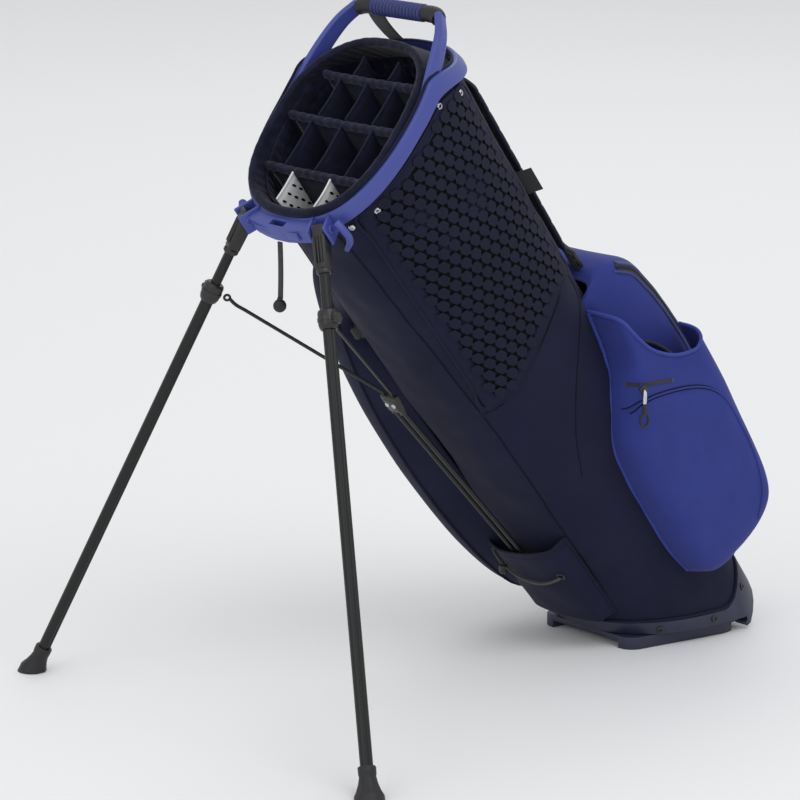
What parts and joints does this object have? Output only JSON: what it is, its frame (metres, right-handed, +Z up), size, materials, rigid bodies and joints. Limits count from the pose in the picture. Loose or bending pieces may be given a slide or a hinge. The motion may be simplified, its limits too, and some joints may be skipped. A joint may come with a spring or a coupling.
{
  "type": "golf stand bag",
  "caption": "Golf bag with a padded divided mouth, carry handle, side pockets and a hinged foot that spreads two folding legs.",
  "frame": {"origin": "on the ground, under the middle of the bounding box, with the bag leaning on its spread legs", "axes": "+Z up, +Y from the legs towards the base and the spine side, +X to the bag's right"},
  "size_m": [0.7008, 0.8674, 0.8381],
  "materials": {
    "navy_fabric": "tightly woven navy polyester",
    "blue_fabric": "woven royal blue polyester",
    "blue_grip": "ribbed blue rubber",
    "blue_plastic": "satin blue moulded plastic",
    "black_rubber": "black rubber",
    "velour": "quilted navy velour",
    "white_mesh": "white perforated mesh",
    "steel": "plain steel",
    "base_plastic": "dark navy moulded plastic",
    "leg_metal": "dark grey anodised tube",
    "black_plastic": "black moulded plastic",
    "black_wire": "black coated spring steel",
    "webbing": "black nylon webbing",
    "black_cord": "black elastic cord"
  },
  "bodies": {
    "base": {"foot_plate": "base_plastic", "base_hinge_pin": "steel"},
    "bag": {"front_panel": "navy_fabric", "right_panel": "navy_fabric", "spine_panel": "navy_fabric", "left_panel": "navy_fabric", "mesh_panel_right": "navy_fabric", "mesh_panel_left": "navy_fabric", "top_collar": "blue_plastic", "cuff_pad": "velour", "handle_grip": "blue_grip", "handle_sleeve_right": "black_rubber", "handle_sleeve_left": "black_rubber", "divider_bar_front": "velour", "divider_bar_middle": "velour", "divider_bar_back": "velour", "divider_web_front_1": "white_mesh", "divider_web_front_2": "white_mesh", "divider_web_second_1": "velour", "divider_web_second_2": "velour", "divider_web_second_3": "velour", "divider_web_third_1": "velour", "divider_web_third_2": "velour", "divider_web_third_3": "velour", "divider_web_back_1": "velour", "divider_web_back_2": "velour", "stay_right": "steel", "stay_left": "steel", "base_tray": "base_plastic", "leg_pin_right": "steel", "leg_pin_left": "steel", "rod_apron": "navy_fabric", "bungee_cord": "black_cord", "leg_rest": "black_rubber", "pocket_right": "blue_fabric", "pocket_back": "navy_fabric", "pocket_left": "navy_fabric", "shoulder_strap_right": "webbing", "shoulder_strap_left": "webbing", "side_tag": "webbing"},
    "leg_right": {"leg_knuckle_right": "black_plastic", "leg_upper_tube_right": "leg_metal", "leg_tube_right": "leg_metal", "wire_clamp_right": "black_plastic", "leg_foot_right": "black_rubber"},
    "leg_left": {"leg_knuckle_left": "black_plastic", "leg_upper_tube_left": "leg_metal", "leg_tube_left": "leg_metal", "wire_clamp_left": "black_plastic", "leg_foot_left": "black_rubber"},
    "spreader": {"spreader_joiner": "black_plastic", "push_rod_right": "black_wire", "push_rod_left": "black_wire"},
    "wire_right": {"spreader_wire_right": "black_wire"},
    "wire_left": {"spreader_wire_left": "black_wire"},
    "hang_strap": {"hang_strap": "webbing", "hang_strap_ball": "black_rubber"},
    "zip_slider": {"zip_slider": "black_plastic"},
    "zip_pull": {"zip_pull": "black_plastic"}
  },
  "joints": [
    {"name": "base_hinge", "type": "hinge", "parent": "base", "child": "bag", "pos_m": [0, 0.39322, 0.014], "axis": [-1, 0, 0], "range_deg": [0, 35.5]},
    {"name": "leg_fold_right", "type": "hinge", "parent": "bag", "child": "leg_right", "pos_m": [0.0693, -0.27424, 0.59025], "axis": [0.8683, 0.4039, 0.2881], "range_deg": [0, 52.94]},
    {"name": "leg_fold_left", "type": "hinge", "parent": "bag", "child": "leg_left", "pos_m": [-0.0693, -0.27424, 0.59025], "axis": [0.8683, -0.4039, -0.2881], "range_deg": [0, 52.94]},
    {"name": "spreader_slide", "type": "slide", "parent": "bag", "child": "spreader", "axis": [0, 0.6822, -0.7311], "range_m": [0, 0.05358]},
    {"name": "wire_swing_right", "type": "hinge", "parent": "spreader", "child": "wire_right", "pos_m": [0.009, -0.11571, 0.36456], "axis": [-0.7996, -0.5751, -0.1725], "range_deg": [0, 22.1]},
    {"name": "wire_swing_left", "type": "hinge", "parent": "spreader", "child": "wire_left", "pos_m": [-0.009, -0.11571, 0.36456], "axis": [-0.7996, 0.5751, 0.1725], "range_deg": [0, 22.1]},
    {"name": "hang_strap_swing", "type": "hinge", "parent": "bag", "child": "hang_strap", "pos_m": [-0.008, -0.27437, 0.56805], "axis": [1, 0, 0], "range_deg": [0, 35.5]},
    {"name": "zip_slide", "type": "slide", "parent": "bag", "child": "zip_slider", "axis": [0, 1, 0], "range_m": [0, 0.07]},
    {"name": "zip_pull_swing", "type": "hinge", "parent": "zip_slider", "child": "zip_pull", "pos_m": [0.1629, 0.15456, 0.35933], "axis": [1, 0, 0], "range_deg": [-40, 40]}
  ],
  "couplings": [
    {"joint": "leg_fold_right", "follows": "base_hinge", "ratio": 1.4913},
    {"joint": "leg_fold_left", "follows": "base_hinge", "ratio": 1.4913},
    {"joint": "spreader_slide", "follows": "base_hinge", "m_per_rad": 0.08648},
    {"joint": "wire_swing_right", "follows": "base_hinge", "ratio": 0.62247},
    {"joint": "wire_swing_left", "follows": "base_hinge", "ratio": 0.62247},
    {"joint": "hang_strap_swing", "follows": "base_hinge", "ratio": 1}
  ]
}
